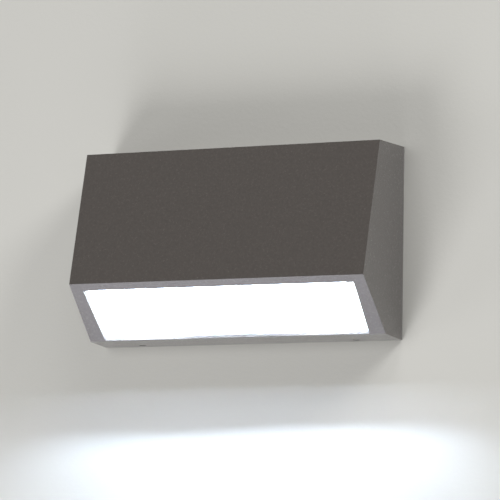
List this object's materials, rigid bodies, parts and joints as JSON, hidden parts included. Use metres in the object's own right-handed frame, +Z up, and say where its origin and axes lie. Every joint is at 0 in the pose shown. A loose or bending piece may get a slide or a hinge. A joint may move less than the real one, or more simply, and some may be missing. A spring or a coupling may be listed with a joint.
{
  "type": "wall step light",
  "caption": "Wedge-shaped outdoor wall light for steps and paths, with a sloping glass window that throws an LED row's light down the wall.",
  "frame": {"origin": "centre of the cable hole in the wall plate's rear face, which lies on the wall; it is also the middle of the two wall slots", "axes": "+X to the right seen from the room, +Y out of the wall plate's rear face into the wall, +Z up the wall; the lamp stands out towards -Y"},
  "size_m": [0.25, 0.078, 0.15],
  "materials": {
    "dark_powder_coat": "fine-texture matt powder coat",
    "galvanised_steel": "galvanised sheet",
    "black_rubber": "soft moulded rubber",
    "clear_glass": "clear toughened glass",
    "grey_silicone": "soft silicone",
    "white_silicone": "soft moulded silicone",
    "white_plastic": "moulded, matt",
    "plain_aluminium": "plain rolled sheet",
    "zinc_plated_steel": "bright zinc plated",
    "stainless_steel": "plain turned",
    "white_board": "white solder mask",
    "led_phosphor": "yellow phosphor in a white package",
    "traced_white_insulation": "extruded white insulation with a thin red tracer",
    "white_insulation": "extruded white insulation",
    "brown_insulation": "extruded insulation",
    "blue_insulation": "extruded insulation",
    "green_insulation": "extruded green insulation with a yellow stripe",
    "black_plastic": "moulded polyamide",
    "green_board": "green solder mask",
    "yellow_winding_tape": "polyester tape over ferrite",
    "capacitor_sleeve": "shrink sleeve",
    "dark_ferrite": "pressed ferrite",
    "plain_brass": "plain turned brass",
    "tinned_copper": "tinned"
  },
  "bodies": {
    "wall_plate": {"wall_plate": "galvanised_steel", "cable_hole_bush": "black_rubber"},
    "front_unit": {"housing": "dark_powder_coat", "glass_window": "clear_glass", "window_gasket": "grey_silicone", "reflector": "white_plastic", "led_carrier": "plain_aluminium", "carrier_screws": "zinc_plated_steel", "thermal_pad": "grey_silicone", "led_board": "white_board", "led_packages": "led_phosphor", "led_connector": "white_plastic", "lead_grommet": "white_silicone", "led_lead_positive": "traced_white_insulation", "led_lead_negative": "white_insulation", "rear_cover": "plain_aluminium", "cover_gasket": "grey_silicone", "cover_screws": "zinc_plated_steel", "set_screws": "stainless_steel", "gland_body": "black_plastic", "gland_seal": "black_rubber", "gland_dome_nut": "black_plastic", "gland_locknut": "black_plastic", "driver_case": "white_plastic", "driver_lid": "white_plastic", "driver_board": "green_board", "driver_transformer": "yellow_winding_tape", "driver_capacitors": "capacitor_sleeve", "driver_choke": "dark_ferrite", "driver_screws": "zinc_plated_steel", "terminal_block": "white_plastic", "terminal_clamps": "plain_brass", "terminal_screws": "zinc_plated_steel", "terminal_block_screws": "zinc_plated_steel", "line_wire": "brown_insulation", "neutral_wire": "blue_insulation", "earth_wire": "green_insulation", "earth_lug": "tinned_copper", "earth_screw": "plain_brass"}
  },
  "joints": [
    {"name": "front_unit_pull_off", "type": "slide", "parent": "wall_plate", "child": "front_unit", "axis": [0, -1, 0], "range_m": [0, 0.06]}
  ]
}
